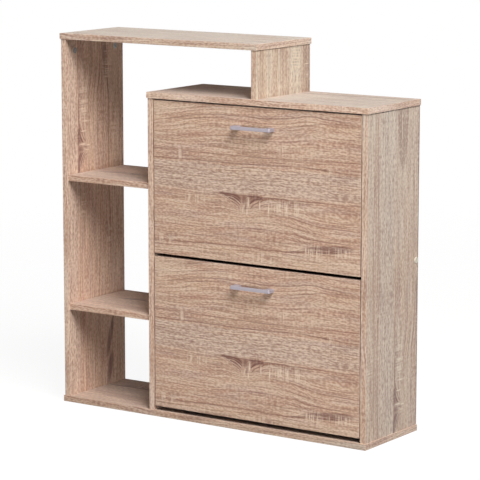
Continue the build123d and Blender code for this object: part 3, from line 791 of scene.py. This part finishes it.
def board_finish(name, cut, sheet, decor):
    """The oak finish of one board: its own cut of the sheet, its edge bands and its raw rear edge."""
    material = new_material(f"oak_{name}")
    tree = material.node_tree
    bench = NodeBench(tree)
    coords = tree.nodes.new("ShaderNodeTexCoord")
    place = coords.outputs["Object"]
    facing = bench.split(coords.outputs["Normal"])
    on_face = faces(bench, facing, cut.thickness)
    on_end = faces(bench, facing, cut.run)
    along, across = sheet_place(bench, name, cut, bench.split(place), on_face, on_end)

    print_node = tree.nodes.new("ShaderNodeGroup")
    print_node.node_tree = sheet
    bench.plug(print_node.inputs["Along"], along)
    bench.plug(print_node.inputs["Across"], across)
    # The board's tone, which on some boards is painted light or sheen (see CUTS)
    tone = bench.blend(on_face, opaque(cut.edge_tone), opaque(cut.tone))
    colour = bench.blend(1.0, print_node.outputs["Colour"], tone, mode="MULTIPLY")
    if cut.width == "Y":
        on_rear = bench.maths("GREATER_THAN", facing["Y"], FACING)
        _, raw_edge = speckle(bench, place, RAW_EDGE, decor)
        colour = bench.blend(on_rear, colour, raw_edge)

    grit = bench.noise(place, scale=BOARD_GRIT, dimensions="3D")
    roughness = bench.maths("MULTIPLY_ADD", grit, BOARD_ROUGHNESS_SPREAD, BOARD_ROUGHNESS)
    shader = surface(bench, material, colour, roughness)
    shader.inputs["Specular IOR Level"].default_value = BOARD_SPECULAR
    shader.inputs["Sheen Weight"].default_value = BOARD_SHEEN
    shader.inputs["Sheen Roughness"].default_value = BOARD_SHEEN_ROUGHNESS
    bump(bench, shader, print_node.outputs["Relief"], BOARD_BUMP, BOARD_BUMP_DEPTH)
    return material


# Fittings


def fitting_finish(name, fittings):
    """The finish of one kind of fitting: hardboard, plastic, steel, handle, dowel or cap."""
    recipe = RECIPES[name]
    material = new_material(name)
    bench = NodeBench(material.node_tree)
    specks, colour = speckle(bench, object_place(bench), recipe, fittings)
    dullness = recipe.dullness
    roughness = bench.maths("MULTIPLY_ADD", specks[dullness.speck], dullness.spread, dullness.base)
    shader = surface(bench, material, colour, roughness, recipe.metallic)
    bump(bench, shader, specks[recipe.bumps.speck], recipe.bumps.strength, recipe.bumps.depth)
    return material


# The studio stage: every lamp points at the aim and stands in a direction from it, at a distance in metres.
# The floor melts into the background between two shares of its radius.
LIGHT_AIM = (0.0, 0.0, 0.45)
Lamp = namedtuple("Lamp", "name setting towards distance width height")
LAMPS = (
    Lamp("key_light", "key_share", (0.59, -0.39, 0.707), 8.0, 4.2, 4.2),
    Lamp("fill_light", "fill_share", (0.26, -0.965, -0.048), 9.0, 5.0, 0.3),
    Lamp("rear_light", "rear_share", (-0.55, 0.83, -0.056), 9.0, 6.0, 0.3),
)
WHITE = (1.0, 1.0, 1.0, 1.0)
FLOOR_SIDES = 96
FLOOR_FADE = (0.35, 0.95)
SENSOR_WIDTH = 36.0


def backdrop_switch(bench):
    """1 for rays that should see a white background: straight, mirrored or passed through glass."""
    path = bench.tree.nodes.new("ShaderNodeLightPath")
    seen = [path.outputs[name] for name in ("Is Camera Ray", "Is Glossy Ray", "Is Transmission Ray")]
    return bench.strongest(seen)


def white_world(stage):
    """A world that looks white and lights the object with little, even light."""
    world = bpy.data.worlds.new("studio_world")
    world.use_nodes = True
    tree = world.node_tree
    tree.nodes.clear()
    bench = NodeBench(tree)
    glow = {"Color": opaque(stage.ambient_colour), "Strength": stage.ambient}
    ambient = bench.add("ShaderNodeBackground", glow)
    white = bench.add("ShaderNodeBackground", {"Color": WHITE, "Strength": 1.0})
    mix = bench.add("ShaderNodeMixShader", {0: backdrop_switch(bench), 1: ambient, 2: white})
    output = tree.nodes.new("ShaderNodeOutputWorld")
    bench.plug(output.inputs["Surface"], mix)
    bpy.context.scene.world = world


def pale_floor(stage):
    """A round pale floor whose shadowless part reads white and whose rim melts into the background."""
    bpy.ops.mesh.primitive_circle_add(vertices=FLOOR_SIDES, radius=stage.floor_radius, fill_type="NGON")
    floor = bpy.context.object
    floor.name = "studio_floor"
    material = new_material("studio_floor")
    tree = material.node_tree
    bench = NodeBench(tree)
    place = object_place(bench)
    diffuse = bench.add("ShaderNodeBsdfDiffuse", {"Color": opaque(stage.floor_colour)})
    lift = bench.maths("MULTIPLY", backdrop_switch(bench), stage.floor_lift)
    glow = bench.add("ShaderNodeEmission", {"Color": WHITE, "Strength": lift})
    lit = bench.add("ShaderNodeAddShader", {0: diffuse, 1: glow})
    clear = bench.add("ShaderNodeBsdfTransparent", {"Color": WHITE})
    distance = bench.add("ShaderNodeVectorMath", {0: place}, outlet="Value", operation="LENGTH")
    fade = bench.ease(distance, *[share * stage.floor_radius for share in FLOOR_FADE])
    mix = bench.add("ShaderNodeMixShader", {0: fade, 1: lit, 2: clear})
    output = tree.nodes.new("ShaderNodeOutputMaterial")
    bench.plug(output.inputs["Surface"], mix)
    floor.data.materials.append(material)


def soft_light(lamp, share):
    """A soft light. At full light a white surface that faces it shows as white."""
    data = bpy.data.lights.new(lamp.name, "AREA")
    data.shape = "RECTANGLE"
    data.size = lamp.width
    data.size_y = lamp.height
    full_light = math.pi ** 2 * lamp.distance ** 2
    data.energy = share * full_light
    light = bpy.data.objects.new(lamp.name, data)
    bpy.context.collection.objects.link(light)
    direction = Vector(lamp.towards).normalized()
    light.location = Vector(LIGHT_AIM) + direction * lamp.distance
    light.rotation_euler = direction.to_track_quat("Z", "Y").to_euler()


def photo_camera(stage):
    """The camera at the photograph's viewing angle."""
    data = bpy.data.cameras.new("photo_camera")
    data.lens = stage.lens
    data.sensor_width = SENSOR_WIDTH
    camera = bpy.data.objects.new("photo_camera", data)
    bpy.context.collection.objects.link(camera)
    camera.location = stage.camera_place
    camera.rotation_euler = (math.pi / 2 - stage.camera_pitch, 0.0, stage.camera_turn)
    bpy.context.scene.camera = camera


def colour_setting(name, description, default):
    return FloatVectorProperty(
        name=name, description=description, subtype="COLOR", size=3, min=0.0, max=1.0, default=default
    )


def share_setting(name, description, default):
    return FloatProperty(
        name=name, description=description, subtype="FACTOR", min=0.0, soft_max=2.0, default=default
    )


class CABINET_PG_decor(bpy.types.PropertyGroup):
    """Colours of the printed oak sheet"""

    tan: colour_setting("Tan", "Warmer half of the print's ground colour", (0.555, 0.345, 0.238))
    straw: colour_setting("Straw", "Lighter half of the print's ground colour", (0.610, 0.428, 0.305))
    rust: colour_setting("Rust", "Reddish streaks", (0.435, 0.232, 0.152))
    weathered: colour_setting("Weathered", "Greyer band along the print's middle", (0.520, 0.385, 0.310))
    # Laid as print in the cream streaks, and as painted sheen on the two tops and on the right side
    cream_and_sheen: colour_setting("Bleached", "Pale band that the two tops are cut from", (0.750, 0.675, 0.565))
    growth_line: colour_setting("Growth line", "Dark growth lines and fibres", (0.235, 0.110, 0.074))
    knot: colour_setting("Knot", "Knots and dark lenses", (0.160, 0.060, 0.044))
    saw_mark: colour_setting("Saw mark", "Pale fibres and cross marks left by the saw", (0.745, 0.590, 0.455))
    mauve: colour_setting("Mauve", "Greyer drift of the print's colour", (0.480, 0.335, 0.285))
    honey: colour_setting("Honey", "Warmer drift of the print's colour", (0.600, 0.395, 0.250))
    chip: colour_setting("Chip", "Wood chips on the raw rear edges", (0.420, 0.285, 0.170))
    chip_dark: colour_setting("Dark chip", "Darker wood chips on the raw rear edges", (0.255, 0.155, 0.085))


class CABINET_PG_fittings(bpy.types.PropertyGroup):
    """Colours of the hardboard, plastic and metal pieces"""

    hardboard: colour_setting("Hardboard", "Back panels and tray boards", (0.200, 0.110, 0.055))
    hardboard_dark: colour_setting("Hardboard mottle", "Dark mottle of the hardboard", (0.135, 0.070, 0.034))
    hardboard_fibre: colour_setting("Hardboard fibre", "Pale fibres in the hardboard", (0.330, 0.210, 0.120))
    plastic: colour_setting("Plastic", "Tray brackets", (0.012, 0.012, 0.013))
    plastic_scuff: colour_setting("Plastic scuff", "Scuffs on the tray brackets", (0.030, 0.030, 0.032))
    steel: colour_setting("Steel", "Zinc-plated screws, cams, pins and nails", (0.240, 0.225, 0.212))
    steel_shadow: colour_setting("Steel cloud", "Cloudy zinc plating", (0.130, 0.122, 0.114))
    handle: colour_setting("Handle", "Satin silver handles", (0.425, 0.388, 0.430))
    handle_shadow: colour_setting("Handle brushing", "Brushed lines on the handles", (0.365, 0.325, 0.352))
    beech: colour_setting("Beech", "Dowels", (0.560, 0.380, 0.220))
    beech_fleck: colour_setting("Beech fleck", "Brown flecks in the dowels", (0.390, 0.230, 0.120))
    cap: colour_setting("Cover cap", "Push-in cover caps", (0.620, 0.575, 0.475))
    cap_shadow: colour_setting("Cover cap tone", "Darker tone of the cover caps", (0.560, 0.510, 0.415))


class CABINET_PG_stage(bpy.types.PropertyGroup):
    """Camera, lights and floor"""

    camera_place: FloatVectorProperty(
        name="Camera place", description="Where the camera stands", subtype="XYZ", unit="LENGTH",
        default=(3.2754, -4.7781, 1.4151),
    )
    camera_turn: FloatProperty(
        name="Camera turn", description="Turn to the left about the vertical", subtype="ANGLE",
        default=math.radians(34.331),
    )
    camera_pitch: FloatProperty(
        name="Camera pitch", description="Tilt down from level", subtype="ANGLE", default=math.radians(9.535),
    )
    lens: FloatProperty(
        name="Lens", description="Focal length on a 36 mm sensor", unit="CAMERA", default=179.23,
    )
    key_share: share_setting("Key light", "Share of full light from the key light", 1.40)
    fill_share: share_setting("Fill light", "Share of full light from the front", 0.42)
    rear_share: share_setting("Rear light", "Share of full light from behind", 0.65)
    ambient: share_setting("Ambient", "Even light from all round", 0.07)
    ambient_colour: colour_setting("Ambient colour", "Warmth of the even light", (1.0, 0.87, 0.75))
    floor_radius: FloatProperty(
        name="Floor radius", description="Radius of the round floor", unit="LENGTH", default=4.0,
    )
    floor_colour: colour_setting("Floor", "Pale floor", (0.10, 0.10, 0.10))
    floor_lift: share_setting("Floor lift", "White added to the floor as it is seen", 0.925)


class CABINET_OT_boards(bpy.types.Operator):
    """Gives every carcass board and both flap fronts their own cut of the oak sheet"""

    bl_idname = "cabinet.boards"
    bl_label = "Finish oak boards"

    def execute(self, context):
        decor = context.scene.cabinet_decor
        sheet = oak_print(decor)
        for name, cut in CUTS.items():
            dress([name], board_finish(name, cut, sheet, decor))
        return {"FINISHED"}


class CABINET_OT_hardboard(bpy.types.Operator):
    """Finishes the back panels and the tray boards as brown hardboard"""

    bl_idname = "cabinet.hardboard"
    bl_label = "Finish hardboard"

    def execute(self, context):
        dress(BACKS + TRAY_BOARDS, fitting_finish("hardboard", context.scene.cabinet_fittings))
        return {"FINISHED"}


class CABINET_OT_brackets(bpy.types.Operator):
    """Finishes the tray brackets as black moulded plastic"""

    bl_idname = "cabinet.brackets"
    bl_label = "Finish brackets"

    def execute(self, context):
        dress(BRACKETS, fitting_finish("black_plastic", context.scene.cabinet_fittings))
        return {"FINISHED"}


class CABINET_OT_steel(bpy.types.Operator):
    """Finishes the screws, cams, bolts, nails and pins as zinc-plated steel"""

    bl_idname = "cabinet.steel"
    bl_label = "Finish steel fittings"

    def execute(self, context):
        dress(CARCASS_STEEL + FLAP_SCREWS, fitting_finish("zinc_steel", context.scene.cabinet_fittings))
        return {"FINISHED"}


class CABINET_OT_handles(bpy.types.Operator):
    """Finishes the two handles in satin silver"""

    bl_idname = "cabinet.handles"
    bl_label = "Finish handles"

    def execute(self, context):
        dress(HANDLES, fitting_finish("silver_handle", context.scene.cabinet_fittings))
        return {"FINISHED"}


class CABINET_OT_dowels_and_caps(bpy.types.Operator):
    """Finishes the beech dowels and the ivory cover caps"""

    bl_idname = "cabinet.dowels_and_caps"
    bl_label = "Finish dowels and caps"

    def execute(self, context):
        fittings = context.scene.cabinet_fittings
        dress(["dowels"], fitting_finish("beech_dowel", fittings))
        dress(["cover_caps"], fitting_finish("ivory_cap", fittings))
        return {"FINISHED"}


class CABINET_OT_stage(bpy.types.Operator):
    """Sets the floor, the lights, the white background and the camera"""

    bl_idname = "cabinet.stage"
    bl_label = "Set studio stage"

    def execute(self, context):
        stage = context.scene.cabinet_stage
        context.scene.view_settings.view_transform = "Standard"
        white_world(stage)
        pale_floor(stage)
        for lamp in LAMPS:
            soft_light(lamp, getattr(stage, lamp.setting))
        photo_camera(stage)
        return {"FINISHED"}


OPERATORS = (
    CABINET_OT_boards,
    CABINET_OT_hardboard,
    CABINET_OT_brackets,
    CABINET_OT_steel,
    CABINET_OT_handles,
    CABINET_OT_dowels_and_caps,
    CABINET_OT_stage,
)


class CABINET_PT_panel(bpy.types.Panel):
    """Lists the steps that dress the cabinet"""

    bl_idname = "CABINET_PT_panel"
    bl_label = "Shoe Cabinet"
    bl_space_type = "VIEW_3D"
    bl_region_type = "UI"
    bl_category = "Shoe Cabinet"

    def draw(self, context):
        for operator in OPERATORS:
            self.layout.operator(operator.bl_idname)


SETTINGS = {
    "cabinet_decor": CABINET_PG_decor,
    "cabinet_fittings": CABINET_PG_fittings,
    "cabinet_stage": CABINET_PG_stage,
}


def register():
    for group in (*SETTINGS.values(), *OPERATORS, CABINET_PT_panel):
        bpy.utils.register_class(group)
    for name, group in SETTINGS.items():
        setattr(bpy.types.Scene, name, PointerProperty(type=group))


def unregister():
    for name in SETTINGS:
        delattr(bpy.types.Scene, name)
    for group in (CABINET_PT_panel, *reversed(OPERATORS), *SETTINGS.values()):
        bpy.utils.unregister_class(group)


def main():
    register()
    bpy.ops.cabinet.boards()
    bpy.ops.cabinet.hardboard()
    bpy.ops.cabinet.brackets()
    bpy.ops.cabinet.steel()
    bpy.ops.cabinet.handles()
    bpy.ops.cabinet.dowels_and_caps()
    bpy.ops.cabinet.stage()


if __name__ == "__main__":
    main()
